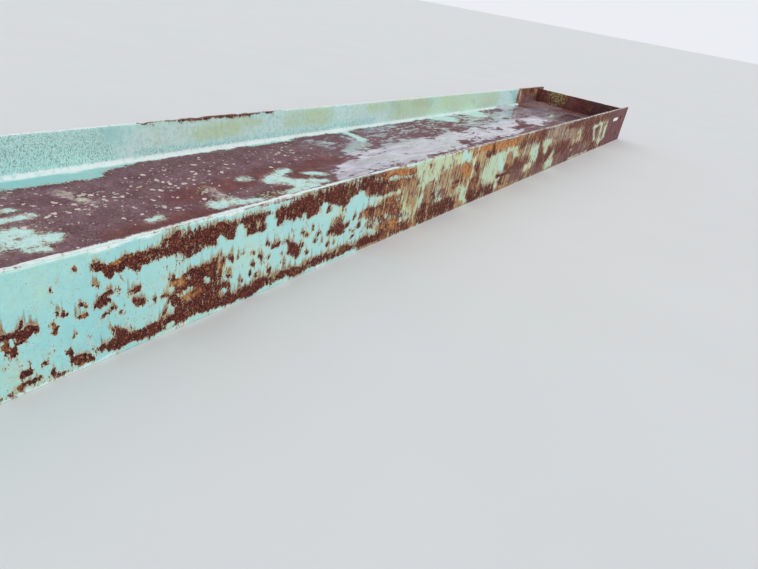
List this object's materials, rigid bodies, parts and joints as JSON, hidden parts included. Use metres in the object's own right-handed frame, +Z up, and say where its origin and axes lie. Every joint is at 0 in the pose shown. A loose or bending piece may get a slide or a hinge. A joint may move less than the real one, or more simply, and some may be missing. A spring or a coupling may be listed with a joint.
{
  "type": "steel girder",
  "caption": "Used wide-flange steel girder, rolled H section with welded stiffener plates and drilled flange near one end, lying on its side.",
  "frame": {"origin": "on the floor below the middle of the girder", "axes": "+X along the girder towards the drilled end, +Y across its depth away from the drilled flange, +Z up, across the flange width"},
  "size_m": [6.096, 0.835, 0.292],
  "materials": {
    "weathered_paint": "mint green paint, chipped and rusted through",
    "bare_plate": "matt red-brown rust with remnants of primer"
  },
  "bodies": {
    "root": {"rolled_beam": "weathered_paint", "upper_stiffener": "bare_plate", "lower_stiffener": "bare_plate"}
  },
  "joints": []
}
